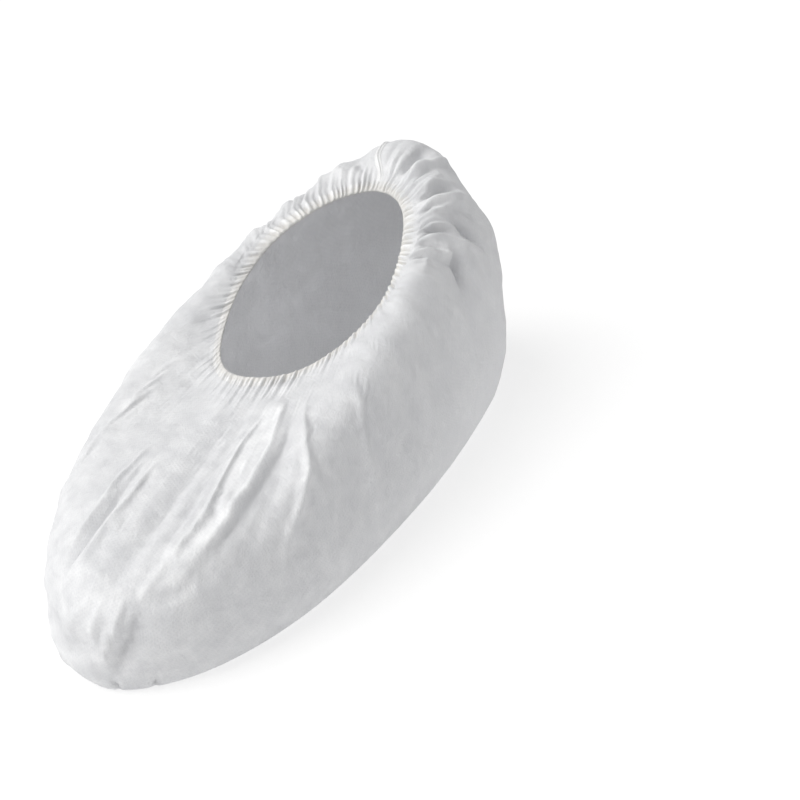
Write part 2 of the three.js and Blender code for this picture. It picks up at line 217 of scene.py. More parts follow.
# main folds and dents of the cloth: places as (degrees, down), then height, and width towards
# toe and heel, in mm
foldRows = (
    ("main pleat",
     ((30, 0.1), (31.5, 0.24), (32.5, 0.4), (31.5, 0.54), (28, 0.66), (24, 0.76), (20, 0.84)),
     2.6, 9, 8),
    ("pleat edge",
     ((36, 0.16), (39.5, 0.28), (41, 0.42), (38.5, 0.53), (35, 0.62), (31, 0.7), (24, 0.83)),
     2.1, 6, 1.1),
    ("pleat crest",
     ((27.5, 0.13), (23, 0.26), (24, 0.4), (25, 0.54), (20, 0.71), (15.5, 0.83), (13, 0.9)),
     2.4, 1.5, 4),
    ("pleat groove", ((14, 0.1), (18, 0.24), (18.5, 0.4), (19.5, 0.54), (17, 0.68)), -2.0, 6, 2.2),
    ("pleat fall", ((44, 0.26), (46, 0.42), (43, 0.55), (39, 0.65), (34, 0.74)), -2.8, 1.4, 9),
    ("first crinkle", ((15.5, 0.36), (21, 0.41)), 1.6, 1.8, 1.8),
    ("second crinkle", ((21, 0.45), (26, 0.45)), 1.8, 1.8, 1.8),
    ("third crinkle", ((22.5, 0.51), (27.5, 0.5)), 1.8, 1.8, 1.8),
    ("fourth crinkle", ((22.5, 0.57), (27.5, 0.56)), 1.6, 1.8, 1.8),
    ("instep hollow", ((8, 0.14), (10, 0.4), (10, 0.6), (6, 0.8)), -2.6, 7, 5),
    ("side ridge", ((50.5, 0.3), (56.5, 0.52), (59.5, 0.65), (58.5, 0.78), (55, 0.9)), 3.0, 4, 5),
    ("taut hollow", ((50, 0.5), (50, 0.66), (43, 0.86)), -1.8, 6, 6),
    ("side tuck", ((61, 0.56), (65.5, 0.62), (70.5, 0.69)), 1.2, 1.8, 1.8),
    ("side crease", ((76, 0.55), (78.5, 0.8), (79, 1.0), (78.5, 1.25)), 1.2, 3.5, 5),
    ("toe ridge", ((-21.5, 0.34), (-20.5, 0.46), (-17.5, 0.55), (-16, 0.65), (-18, 0.77)), 3.2, 2.8, 3),
    ("toe groove", ((-16, 0.4), (-13, 0.54), (-12, 0.66), (-14, 0.78)), -2.6, 2.4, 3),
    ("broad toe ridge", ((-11, 0.36), (-8, 0.5), (-8.5, 0.62), (-9.5, 0.74), (-13.5, 0.83)), 3.0, 3.6, 7),
    ("toe nick", ((-18, 0.42), (-15, 0.45), (-13, 0.49)), 0.9, 1.7, 1.7),
    ("far ridge", ((-57, 0.22), (-52, 0.42), (-47, 0.66)), 2.8, 5, 6),
    ("near toe tuck", ((4, 0.88), (1, 0.99), (-1.5, 1.1)), 2.2, 2.2, 3),
    ("far toe tuck", ((-4, 0.9), (-9, 1.0), (-14, 1.16)), 2.2, 2.2, 3),
    ("toe crease", ((11, 0.88), (8, 1.01), (5, 1.16), (2, 1.34)), 3.4, 5, 1.8),
    ("toe pocket", ((15, 0.92), (11.5, 1.05), (8.5, 1.2), (6, 1.36)), -4.6, 2.2, 6),
    ("low near ridge", ((25, 0.88), (21, 1.1), (17, 1.3)), 1.6, 5, 5),
    ("first sole tuck", ((4.5, 1.6), (3.5, 1.72), (3, 1.86)), -3.4, 1.5, 1.5),
    ("second sole tuck", ((17.5, 1.64), (17, 1.74), (16.5, 1.86)), -3.4, 1.5, 1.5),
    ("toe bulge", ((-34, 1.25), (-20, 1.4), (-6, 1.5)), 3.0, 12, 12),
    ("seam puff", ((176, 0.02), (177, 0.1), (178, 0.2)), 1.4, 4, 4),
    ("seam pocket", ((169, 0.05), (168, 0.16), (168.5, 0.26), (170, 0.38)), -5.2, 4, 5),
    ("seam fold", ((167, 0.03), (164, 0.14), (162.5, 0.28), (166, 0.48)), 3.2, 4.5, 1.8),
    ("heel vee", ((148, 0.1), (154, 0.22), (158, 0.32)), 1.8, 3, 2.4),
    ("deep groove", ((146, 0.02), (146, 0.2), (151, 0.42)), -6.2, 2.2, 3),
    ("first gather", ((140.5, 0.01), (142, 0.15), (144.5, 0.31), (150, 0.52)), 3.4, 2.6, 2.2),
    ("dark nick", ((137, 0.03), (139, 0.12), (141, 0.2)), -3.6, 2, 2),
    ("second gather", ((132.5, 0.06), (137, 0.22), (142, 0.36), (146, 0.46)), 2.8, 2.8, 2.2),
    ("third groove", ((127, 0.02), (128.5, 0.24), (133, 0.42)), -3.2, 2, 2.4),
    ("third gather", ((123.5, 0.01), (125, 0.25), (130, 0.43)), 2.4, 2.4, 2.2),
    ("fourth groove", ((120, 0.04), (121.5, 0.26), (124, 0.4)), -2.8, 2.2, 2.4),
    ("fourth gather", ((116, 0.02), (117.5, 0.2), (121, 0.36)), 1.6, 2.4, 2.4),
    ("heel dent", ((138, 0.46), (138, 0.58), (139, 0.68)), -7.4, 5, 4),
    ("dent edge", ((129.5, 0.47), (133.5, 0.6), (138.5, 0.76)), 2.8, 3.2, 3),
    ("low dent", ((127.5, 0.52), (126, 0.6), (124, 0.7)), -6.4, 4.5, 3.2),
    ("heel tuck", ((112, 0.32), (117, 0.29), (121, 0.43), (126, 0.5)), 1.8, 2.6, 2.6),
    ("low side ridge", ((112, 0.55), (118, 0.8), (120, 1.1)), 1.4, 8, 7),
    ("low heel ridge", ((150, 0.6), (152, 0.8), (153, 1.05)), 1.5, 8, 7),
    ("far seam pocket", ((-166, 0.06), (-163, 0.2), (-164, 0.34)), -2.6, 4, 4.5),
    ("far seam fold", ((-158, 0.03), (-156, 0.18), (-159, 0.38)), 2.4, 3, 3.5),
    ("far first gather", ((-146, 0.02), (-147, 0.2), (-151, 0.44)), 1.7, 3, 3),
    ("far groove", ((-138, 0.03), (-141, 0.22), (-145, 0.42)), -1.6, 3, 3),
    ("far second gather", ((-130, 0.03), (-134, 0.24), (-140, 0.46)), 1.5, 3, 3),
    ("far second groove", ((-122, 0.03), (-126, 0.22), (-130, 0.4)), -1.3, 2.8, 2.8),
    ("far third gather", ((-114, 0.04), (-118, 0.24), (-123, 0.44)), 1.2, 3, 3),
    ("far side ridge", ((-78, 0.35), (-80, 0.8), (-82, 1.2)), 1.5, 6, 5),
    ("far hollow", ((-100, 0.3), (-103, 0.7), (-104, 1.1)), -1.3, 8, 7),
    ("far heel ridge", ((-125, 0.5), (-130, 0.75), (-132, 1.0)), 1.6, 6, 6),
    ("far heel hollow", ((-150, 0.5), (-153, 0.75), (-155, 1.0)), -1.6, 7, 6),
)


foldShape = {
    "steps": 24,            # points along each fold's line
    "sideSoft": 0.5,        # mm about the line over which the two widths meet
    "narrow": 1.9,
    "ridgePower": 1.35,     # ridges are sharper than hollows
    "hollowPower": 1.8,
    "fade": (0.07, 0.86),   # part of a half wave that lies along the fold
    "fadePower": 0.6,
}

ribbonPleat = {
    "edges": (   # degrees and down of its two edges
        ((26.5, 0.14), (23.5, 0.19), (22, 0.26), (24, 0.4),
         (25, 0.56), (23, 0.62), (20, 0.71), (15.5, 0.83)),
        ((37.5, 0.22), (40, 0.31), (41.5, 0.43), (38.5, 0.53),
         (35, 0.62), (31, 0.7), (28, 0.79), (25.5, 0.86)),
    ),
    "soft": 0.9,            # degrees
    "starts": (0.1, 0.2),
    "fades": (0.7, 0.86),
}


def foldHeights(grid):
    points = grid.reshape(-1, 3)
    height = np.zeros(len(points))
    steps = foldShape["steps"]
    fadeFrom, fadeOver = foldShape["fade"]
    for _, places, peak, toeSide, heelSide in foldRows:
        legs = np.linspace(0, len(places) - 1, steps)
        deg = np.interp(legs, range(len(places)), [p[0] for p in places])
        down = np.interp(legs, range(len(places)), [p[1] for p in places])
        line = np.array([coverPoints(deg[k:k + 1], down[k:k + 1])[0, 0] for k in range(steps)])
        beside = np.array([coverPoints(deg[k:k + 1] + 1, down[k:k + 1])[0, 0] for k in range(steps)])
        best = np.full(len(points), 1e9)
        side = np.zeros(len(points))
        along = np.zeros(len(points))
        for k in range(steps - 1):
            leg = line[k + 1] - line[k]
            t = np.clip(((points - line[k]) @ leg) / (leg @ leg), 0, 1)
            away = points - line[k] - t[:, None] * leg
            distance = np.linalg.norm(away, axis=1)
            nearer = distance < best
            best = np.where(nearer, distance, best)
            side = np.where(nearer, away @ unit(beside[k] - line[k]), side)
            along = np.where(nearer, (k + t) / (steps - 1), along)
        heelward = smoothStep(-1, 1, side / np.maximum(best, foldShape["sideSoft"]))
        width = toeSide + (heelSide - toeSide) * heelward
        fade = np.sin(np.pi * (fadeFrom + fadeOver * along)) ** foldShape["fadePower"]
        power = foldShape["ridgePower" if peak > 0 else "hollowPower"]
        height += peak * fade * np.exp(-foldShape["narrow"] * (best / width) ** power)
    return height.reshape(grid.shape[:2])


# the nonwoven sheet
clothBody = {
    "around": 600,
    "ringsAbove": 52,
    "ringsBelow": 9,
    "ringsSole": 5,
    "crowding": 1.12,        # rings lie closer towards the hem
    "hemLap": (3.3, 2.2, 1.1),   # mm by which the first rings lie over the hem
    "hemClear": (-0.45, -0.05, 0.12),   # mm that they stand off it, the first tucked in
    "foldStart": (-1.5, 8.0),   # mm from the hem over which the folds rise
    "gripShare": 0.5,        # of the gathers' reach, over which the hem holds the cloth while it settles
    "ripple": 0.11,          # mm of small unevenness all over
    "rippleWaves": (9, 12, 15, 19, 24, 31),   # mm
    "rippleMean": 18,
    "gatherRows": (   # degrees, height mm, reach mm, lean degrees, spare cloth, share of the hem's ribs
        (0, 0.45, 16, 0, 0.03, 0.55),
        (30, 0.45, 15, 4, 0.03, 0.55),
        (60, 0.42, 12, 10, 0.02, 0.5),
        (90, 0.6, 16, 18, 0.04, 0.55),
        (120, 1.15, 25, 24, 0.06, 1.0),
        (150, 1.2, 26, 16, 0.06, 1.1),
        (180, 1.0, 24, 0, 0.05, 1.0),
    ),
    "gatherWaves": (   # share of the height, puckers joined, phase, share of the reach, mm of its rise
        (0.42, 1, 0.0, 0.5, None),
        (0.55, 2, 0.7, 0.7, None),
        (0.75, 4, 2.1, 1.1, (1, 9)),
        (0.75, 8, 0.5, 1.6, (4, 16)),
    ),
    "uneven": 0.22,          # some gathers are stronger than others
    "unevenTurns": (7, 11, 17, 23),
    "phases": (0, 6),        # random starts of the waves, in radians
    "farShare": 0.6,         # the gathers of the far side are lower
    "farFrom": (0.1, 0.7),
    "gatherMirrored": (3,),
    "gatherSeed": 4,
    "seamCalm": 7.0,         # degrees either side of the heel seam that lie flat
    "seamFlat": 0.35,        # share of them that is quite flat
    "gathersEnd": 1.3,       # down, where the gathers start to die out
    "foldsEnd": 1.8,         # and the folds
    "flatFrom": 1.97,
    "soleFrom": 1.98,
    "easeAround": 4,         # weight of a point against its two neighbours
    "easeDown": 6,
    "spareReach": 1.4,
    "layerBase": 0.5,        # how much cloth lies at a point: 0 single, 1 double; the fold and gather terms below also paint shade into hollows and highlight onto ridges
    # painted shade in fold hollows and painted highlight on fold ridges, by fold height
    "paintedFoldShade": 0.09,
    "paintedFoldShadeMost": 3,
    # painted shade in gather valleys and painted highlight on gather crests
    "paintedGatherShade": 0.14,
    "layerPleat": 0.4,
    "thickness": 0.35,
    "flatCut": (0.40, 0.32),   # opened out flat, before the elastic draws it in
    "flatArea": 0.11,        # less the opening and the rounded corners
}

clothSettle = {
    "scale": 10.0,           # simulated ten times larger, where the solver's steps suit it
    "frames": 20,
    "fillerGap": 0.9,        # mm between the cloth's resting line and what fills it out
    "slack": 0.004,
    "weight": 0.5,           # share of gravity
    "mergeGap": 0.02,        # mm
    "pinPower": 0.25,        # the solver takes the fourth power of a pin's weight
    "pinDigits": 2,
    "soleHeld": (1.4, 1.9),  # down, over which the sole takes hold
    "seamHeld": (2.0, 5.0),  # degrees from the seam, over which its hold ends
    "contactGap": 0.004,
    "contactQuality": 3,
    "friction": 4,
    "fabric": {
        "quality": 5,
        "mass": 0.15,
        "air_damping": 2,
        "bending_model": "ANGULAR",
        "tension_stiffness": 40,
        "compression_stiffness": 40,
        "shear_stiffness": 20,
        "bending_stiffness": 5,
        "tension_damping": 10,
        "compression_damping": 10,
        "shear_damping": 10,
        "bending_damping": 1,
        "vertex_group_mass": "held",
        "pin_stiffness": 6,
    },
}


def clothGrid():
    body = clothBody
    deg = 180 + np.arange(body["around"] + 1) * 360.0 / body["around"]
    above = np.linspace(0, 1, body["ringsAbove"] + 1) ** body["crowding"]
    below = 1 + np.linspace(0, 1, body["ringsBelow"] + 1)[1:]
    sole = 2 + np.linspace(0, 1, body["ringsSole"] + 1)[1:]
    lap = -np.array(body["hemLap"])
    return deg, np.concatenate([lap, above, below, sole])


def puckerAngle(deg):
    turns = np.radians(deg)
    phase = elasticHem["wanderPhase"]
    wander = sum(np.sin(n * turns + phase * n) for n in elasticHem["wanderTurns"])
    return elasticHem["puckers"] * turns + elasticHem["wander"] * wander


def farSide(deg):
    away = smoothStep(*clothBody["farFrom"], -np.sin(np.radians(deg)))
    return 1 - (1 - clothBody["farShare"]) * away


def gatherHeights(deg, down, run):
    # puckers at the hem join two by two into broader gathers on the way down
    rows = ringValues(clothBody["gatherRows"], clothBody["gatherMirrored"], deg)
    dice = np.random.default_rng(clothBody["gatherSeed"])
    turns = np.radians(deg)
    uneven = clothBody["uneven"]
    phases = clothBody["phases"]
    strong = 1 + sum(uneven * np.sin(n * turns + dice.uniform(*phases)) for n in clothBody["unevenTurns"])
    angle = puckerAngle(deg[None] - rows[None, :, 3] * np.clip(down, 0, 1)[:, None])
    reach = rows[None, :, 2]
    waves = 0
    for share, joined, phase, fade, rise in clothBody["gatherWaves"]:
        wave = share * np.cos(angle / joined + phase) * np.exp(-(run / (fade * reach)) ** 2)
        waves = waves + (wave * smoothStep(*rise, run) if rise else wave)
    return rows[None, :, 1] * strong[None] * farSide(deg) * waves


def ripples(grid):
    dice = np.random.default_rng(clothBody["gatherSeed"] + 1)
    height = np.zeros(grid.shape[:2])
    for wave in clothBody["rippleWaves"]:
        way = unit(dice.normal(0, 1, 3))
        start = dice.uniform(*clothBody["phases"])
        height += np.sin(grid @ way * 2 * np.pi / wave + start) * wave / clothBody["rippleMean"]
    return clothBody["ripple"] * height


def fromSeam(deg, down):
    return np.abs(np.mod(deg, 360)[None] - seamDegrees(down)[:, None])


def flattened(deg, down, fromDown):
    calm = clothBody["seamCalm"]
    atSeam = smoothStep(clothBody["seamFlat"] * calm, calm, fromSeam(deg, down))
    atSole = 1 - smoothStep(fromDown, clothBody["flatFrom"], down)
    return atSole[:, None] * atSeam


def eased(heights):
    # takes the points off the folds, one pass each way
    around, along = clothBody["easeAround"], clothBody["easeDown"]
    ring = heights[:, :-1]
    ring = (np.roll(ring, 1, 1) + around * ring + np.roll(ring, -1, 1)) / (around + 2)
    ring[1:-1] = (ring[:-2] + along * ring[1:-1] + ring[2:]) / (along + 2)
    return np.concatenate([ring, ring[:, :1]], 1)


def ribbonBand(deg, down):
    # the flat pleat where the cloth lies double
    side = np.mod(deg + 180, 360) - 180
    left, right = (
        np.interp(down, [p[1] for p in edge], [p[0] for p in edge])
        for edge in ribbonPleat["edges"]
    )
    soft = ribbonPleat["soft"]
    pastLeft = smoothStep(-soft, soft, side[None] - left[:, None])
    beforeRight = smoothStep(-soft, soft, right[:, None] - side[None])
    inside = pastLeft * beforeRight
    ends = smoothStep(*ribbonPleat["starts"], down) * (1 - smoothStep(*ribbonPleat["fades"], down))
    return inside * ends[:, None]


def clothShapes():
    deg, down = clothGrid()
    smooth = coverPoints(deg, down)
    normals = gridNormals(smooth[:, :-1])
    normals = np.concatenate([normals, normals[:, :1]], 1)
    normals[down >= clothBody["soleFrom"]] = (0, 0, -1)
    step = np.linalg.norm(np.diff(smooth, axis=0), axis=2)
    run = np.concatenate([np.zeros((1, len(deg))), np.cumsum(step, 0)])
    run = np.maximum(run - clothBody["hemLap"][0], 0)
    calm = flattened(deg, down, clothBody["gathersEnd"])
    folds = eased(foldHeights(smooth)) * flattened(deg, down, clothBody["foldsEnd"])
    folds = folds * smoothStep(*clothBody["foldStart"], run)
    gathers = gatherHeights(deg, down, run) * calm
    lift = folds + gathers + ripples(smooth) * calm
    lap = down < 0
    tops = np.array([hemTop(deg, coverForm["hemWidth"] + back) for back in down[lap]])
    lift[lap] = tops + np.array(clothBody["hemClear"])[:, None]
    lift[:, -1] = lift[:, 0]
    start = smooth + normals * lift[..., None]
    start[down >= clothBody["soleFrom"], :, 2] = 0
    hollows = np.minimum(folds, 0) + np.minimum(gathers, 0)
    filler = smooth + normals * (hollows - clothSettle["fillerGap"])[..., None]
    # cloth layers, plus painted shade in fold and gather hollows and painted highlight on their ridges
    most = clothBody["paintedFoldShadeMost"]
    layersAndShade = clothBody["layerBase"] + clothBody["paintedFoldShade"] * np.clip(folds, -most, most)
    layersAndShade = layersAndShade + clothBody["paintedGatherShade"] * gathers + clothBody["layerPleat"] * ribbonBand(deg, down)
    return deg, down, run, start, filler, np.clip(layersAndShade, 0, 1)


def spareCloth(deg, down, run, start):
    # the same sheet with more cloth round the opening, kept to the same lengths down each meridian
    rows = ringValues(clothBody["gatherRows"], clothBody["gatherMirrored"], deg)
    spare = 1 + rows[None, :, 4] * np.exp(-(run / (clothBody["spareReach"] * rows[None, :, 2])) ** 2)
    spare[down > 1] = 1
    centre = start[:1, :-1].mean(1, keepdims=True)   # of the opening
    loose = centre + (start - centre) * spare[..., None]
    loose[..., 2] = start[..., 2]
    top = int(np.searchsorted(down, 1.0))
    for k in range(top, 0, -1):
        flat = np.linalg.norm((loose[k - 1] - loose[k])[:, :2], axis=1)
        length = np.linalg.norm(start[k - 1] - start[k], axis=1)
        climb = np.sqrt(np.maximum(length**2 - flat**2, 0))
        loose[k - 1, :, 2] = loose[k, :, 2] + climb
    return loose


def gridPiece(name, grid):
    deselectAll()
    rings, columns = grid.shape[:2]
    bpy.ops.mesh.primitive_grid_add(x_subdivisions=columns - 1, y_subdivisions=rings - 1, size=1)
    piece = bpy.context.object
    piece.name = name
    piece.data.name = name
    piece.data.vertices.foreach_set("co", grid.astype(np.float32).ravel())
    piece.data.update()
    return piece


def noteLayersAndShade(piece, layersAndShade):
    # how much cloth lies at each point, with painted shade in hollows and painted highlight on ridges, for
    # the finish
    kept = piece.data.attributes.new("layersAndShade", "FLOAT", "POINT")
    kept.data.foreach_set("value", layersAndShade.astype(np.float32).ravel())


def layFlat(piece, grid):
    # the piece's own UV map in metres of cloth: across from the middle column, and down each column
    steps = np.linalg.norm(np.diff(grid, axis=1), axis=2)
    across = np.concatenate([np.zeros((len(grid), 1)), np.cumsum(steps, 1)], 1)
    across -= across[:, across.shape[1] // 2][:, None]
    falls = np.linalg.norm(np.diff(grid, axis=0), axis=2)
    downward = np.concatenate([np.zeros((1, grid.shape[1])), np.cumsum(falls, 0)])
    flat = np.stack([across, downward], 2).reshape(-1, 2)
    corners = np.zeros(len(piece.data.loops), np.int32)
    piece.data.loops.foreach_get("vertex_index", corners)
    piece.data.uv_layers.active.data.foreach_set("uv", flat[corners].astype(np.float32).ravel())


def mergeDoubles(piece, distance):
    pickOnly(piece)
    bpy.ops.object.mode_set(mode="EDIT")
    bpy.ops.mesh.select_all(action="SELECT")
    bpy.ops.mesh.remove_doubles(threshold=distance)
    bpy.ops.mesh.normals_make_consistent(inside=False)
    bpy.ops.object.mode_set(mode="OBJECT")


def makeCloth():
    deg, down, run, start, filler, layersAndShade = clothShapes()
    loose = spareCloth(deg, down, run, start)
    scale = clothSettle["scale"] * mm
    sheet = gridPiece("fabricBody", start * scale)
    layFlat(sheet, loose * mm)
    noteLayersAndShade(sheet, layersAndShade)
    sheet.shape_key_add(name="asWorn")
    rest = sheet.shape_key_add(name="asCut")
    rest.data.foreach_set("co", (loose * scale).astype(np.float32).ravel())
    held = sheet.vertex_groups.new(name="held")
    weight = np.zeros(start.shape[:2])
    firm = len(clothBody["hemLap"]) + 1
    reach = ringValues(clothBody["gatherRows"], clothBody["gatherMirrored"], deg)[None, :, 2]
    grip = np.exp(-(run[firm:] / (clothBody["gripShare"] * reach)) ** 2)
    weight[firm:] = grip ** clothSettle["pinPower"]
    weight[:firm] = 1
    weight = np.maximum(weight, smoothStep(*clothSettle["soleHeld"], down)[:, None])
    atSeam = 1 - smoothStep(*clothSettle["seamHeld"], fromSeam(deg, down))
    weight = np.round(np.maximum(weight, atSeam).ravel(), clothSettle["pinDigits"])
    for value in np.unique(weight):
        if value > 0:
            members = np.nonzero(weight == value)[0]
            held.add(members.tolist(), float(value), "REPLACE")
    mergeDoubles(sheet, clothSettle["mergeGap"] * scale)
    settleCloth(sheet, filler * scale)
    pickOnly(sheet)
    sheet.scale = (1 / clothSettle["scale"],) * 3
    sheet.location = shift
    bpy.ops.object.transform_apply(location=True, rotation=True, scale=True)
    print("cloth shaped,", len(sheet.data.vertices), "points")
    return sheet


def settleCloth(sheet, fillerGrid):
    inside = gridPiece("filler", fillerGrid)
    mergeDoubles(inside, clothSettle["mergeGap"] * clothSettle["scale"] * mm)
    bpy.ops.object.modifier_add(type="COLLISION")
    inside.collision.thickness_outer = clothSettle["contactGap"]
    inside.collision.cloth_friction = clothSettle["friction"]
    pickOnly(sheet)
    bpy.ops.object.modifier_add(type="CLOTH")
    cloth = sheet.modifiers[-1]
    settings = cloth.settings
    for name, value in clothSettle["fabric"].items():
        setattr(settings, name, value)
    settings.shrink_min = -clothSettle["slack"]
    settings.effector_weights.gravity = clothSettle["weight"]
    settings.rest_shape_key = sheet.data.shape_keys.key_blocks["asCut"]
    contact = cloth.collision_settings
    contact.use_collision = True
    contact.distance_min = clothSettle["contactGap"]
    contact.collision_quality = clothSettle["contactQuality"]
    cloth.point_cache.frame_start = 1
    cloth.point_cache.frame_end = clothSettle["frames"]
    scene = bpy.context.scene
    for step in range(1, clothSettle["frames"] + 1):
        scene.frame_set(step)
    pickOnly(sheet)
    bpy.ops.object.convert(target="MESH")
    scene.frame_set(1)
    bpy.data.objects.remove(inside)
    print("cloth settled")


def finishCloth(sheet):
    pickOnly(sheet)
    bpy.ops.object.modifier_add(type="SOLIDIFY")
    wall = sheet.modifiers[-1]
    wall.thickness = clothBody["thickness"] * mm
    wall.offset = -1
    bpy.ops.object.modifier_apply(modifier=wall.name)
    bpy.ops.object.shade_smooth()
    print("cloth given its thickness,", len(sheet.data.polygons), "faces")


# hem round the opening: the cloth turned over the elastic and drawn into small puckers
elasticHem = {
    "puckers": 120,
    "columnsPerPucker": 8,
    "section": (   # mm from the opening's edge, mm off the cloth, share of the puckers and of the gathers
        (6.2, -0.45, 0.6, 1.0),
        (4.8, -0.50, 0.7, 0.8),
        (3.4, -0.58, 0.65, 0.5),
        (2.2, -0.70, 0.55, 0.25),
        (1.1, -0.78, 0.45, 0.1),
        (0.35, -0.58, 0.4, 0.05),
        (0.0, 0.0, 0.4, 0.05),
        (0.3, 0.56, 0.5, 0.15),
        (0.9, 0.80, 0.7, 0.35),
        (1.5, 0.74, 0.9, 0.55),
        (2.0, 0.62, 1.0, 0.7),
        (2.6, 0.60, 1.0, 0.85),
        (3.2, 0.52, 1.0, 0.95),
        (3.7, 0.40, 0.9, 1.0),
        (4.3, 0.26, 0.75, 1.0),
        (5.2, 0.10, 0.6, 1.0),
        (6.2, -0.05, 0.5, 1.0),
    ),
    "outerFrom": 6,         # row of the section where its outer face starts
    "puckerHeight": 0.34,
    "fullRib": 1.1,         # mm from the lowest valley to the highest rib
    "puckerSpread": (0.25, 1.5),   # no two puckers are alike
    "puckerSway": 0.3,
    "valleyPower": 1.6,     # broad crests, narrow valleys
    "wander": 0.8,          # uneven spacing
    "wanderTurns": (7, 12, 19, 31),
    "wanderPhase": 1.7,
    "lookAhead": 0.5,       # degrees
    "mergeGap": 1e-6,       # m
    "seed": 11,
}


def hemLine(deg):
    rim, tangent = hemFrame(deg)[2:]
    step = elasticHem["lookAhead"]
    ahead = unit(hemFrame(deg + step)[2] - hemFrame(deg - step)[2])
    return rim, tangent, ahead, unit(np.cross(tangent, ahead))


def rimGathers(deg):
    start = np.array((0.0,))
    gathers = gatherHeights(deg, start, np.zeros((1, len(deg))))
    return (gathers * flattened(deg, start, clothBody["gathersEnd"]))[0]


def hemPuckers(deg):
    hem = elasticHem
    dice = np.random.default_rng(hem["seed"])
    knots = np.arange(hem["puckers"] + 1)
    place = np.mod(deg - 180, 360) / 360 * hem["puckers"]
    tall = dice.uniform(*hem["puckerSpread"], len(knots))
    sway = dice.uniform(-1, 1, len(knots)) * hem["puckerSway"]
    tall[-1] = tall[0]
    sway[-1] = sway[0]
    wave = np.cos(puckerAngle(deg))
    ridge = 1 - 2 * ((1 - wave) / 2) ** hem["valleyPower"]
    share = ringValues(clothBody["gatherRows"], clothBody["gatherMirrored"], deg)[:, 5] * farSide(deg)
    ribs = hem["puckerHeight"] * np.interp(place, knots, tall) * ridge * share
    return ribs, np.interp(place, knots, sway)


def hemTop(deg, along):
    outer = np.array(elasticHem["section"][elasticHem["outerFrom"]:])
    off, puckered, gathered = (np.interp(along, outer[:, 0], outer[:, k]) for k in (1, 2, 3))
    return off + puckered * hemPuckers(deg)[0] + gathered * rimGathers(deg)


def makeHem():
    hem = elasticHem
    columns = hem["puckers"] * hem["columnsPerPucker"]
    deg = 180 + np.arange(columns + 1) * 360.0 / columns
    rim, tangent, ahead, normal = hemLine(deg)
    ribs, sway = hemPuckers(deg)
    gathers = rimGathers(deg)
    rows = []
    layersAndShade = []
    for along, off, puckered, gathered in (*hem["section"], hem["section"][0]):
        drawn = puckered * ribs + gathered * gathers
        # painted shade in the valleys between the hem's ribs, painted highlight on their crests
        layersAndShade.append(np.clip(clothBody["layerBase"] + drawn / hem["fullRib"], 0, 1))
        lift = off + drawn
        reach = along + sway * puckered
        rows.append(rim + tangent * reach[:, None] + normal * lift[:, None])
    grid = np.array(rows) * mm
    piece = gridPiece("elasticHem", grid)
    layFlat(piece, grid)
    noteLayersAndShade(piece, np.array(layersAndShade))
    mergeDoubles(piece, hem["mergeGap"])
    piece.location = shift
    bpy.ops.object.transform_apply(location=True, rotation=True, scale=True)
    bpy.ops.object.shade_smooth()
    print("hem made,", len(piece.data.polygons), "faces")
    return piece


# welded seam up the heel
heelSeam = {
    "rows": 240,
    "columns": 21,
    "width": 2.6,
    "standOff": 0.02,
    "crown": 0.3,
    "crownPower": 3,
    "finHeight": 0.5,       # the two edges stand up as a thin welded fin
    "finWidth": 0.24,       # share of the width
    "finFade": 6.0,         # mm from the top over which it rises
    "top": -2.6,            # mm by which the seam laps over the hem
    "topRows": 6,
    "bottom": 1.9,
    "thickness": 0.3,
    "weldPitch": 2.0,
    "weldDepth": 0.22,
    "weldSlant": 0.22,
    "weldPower": 0.6,
    "weldEnds": (0.75, 0.45),   # share of the half width over which a weld ends
    "edgeWander": 0.24,
    "edgeSoft": 9,          # rows that the wander is smoothed over
    "lowest": 3.2,
    "seed": 3,
}


def makeSeam():
    seam = heelSeam
    lap = np.linspace(seam["top"], 0, seam["topRows"])[:-1]
    down = np.concatenate([lap, np.linspace(0, seam["bottom"], seam["rows"])])
    trios = []
    for level in down:
        at = seamDegrees(level)
        trios.append(coverPoints(np.array((at - 1, at, at + 1)), np.array((level,)))[0])
    trios = np.array([t for t in trios if t[1, 2] > seam["lowest"]])
    line = trios[:, 1]
    across = unit(trios[:, 0] - trios[:, 2])
    along = unit(np.gradient(line, axis=0))
    normal = unit(np.cross(across, along))
    run = np.concatenate([[0], np.cumsum(np.linalg.norm(np.diff(line, axis=0), axis=1))])
    dice = np.random.default_rng(seam["seed"])
    wander = dice.normal(0, 1, (2, len(run)))
    soft = np.hanning(seam["edgeSoft"])
    soft = soft / soft.sum()
    wander = np.array([np.convolve(w, soft, "same") for w in wander]) * seam["edgeWander"]
    columns = []
    for share in np.linspace(-1, 1, seam["columns"]):
        edge = wander[0] if share < 0 else wander[1]
        aside = share * seam["width"] / 2 + edge * abs(share)
        fin = seam["finHeight"] * math.exp(-(share / seam["finWidth"]) ** 2)
        crown = seam["crown"] * (1 - abs(share) ** seam["crownPower"])
        crown = crown + fin * smoothStep(0, seam["finFade"], run)
        turn = 2 * np.pi * (run / seam["weldPitch"] + seam["weldSlant"] * share)
        weld = np.maximum(np.cos(turn), 0) ** seam["weldPower"]
        inside = smoothStep(*seam["weldEnds"], np.array(abs(share)))
        lift = seam["standOff"] + crown - seam["weldDepth"] * weld * inside
        columns.append(line + normal * lift[:, None] + across * aside[:, None])
    strip = gridPiece("heelSeam", np.array(columns).transpose(1, 0, 2) * mm)
    pickOnly(strip)
    bpy.ops.object.modifier_add(type="SOLIDIFY")
    wall = strip.modifiers[-1]
    wall.thickness = seam["thickness"] * mm
    wall.offset = -1
    bpy.ops.object.modifier_apply(modifier=wall.name)
    strip.location = shift
    bpy.ops.object.transform_apply(location=True, rotation=True, scale=True)
    bpy.ops.object.shade_smooth()
    print("heel seam made,", len(strip.data.polygons), "faces")
    return strip


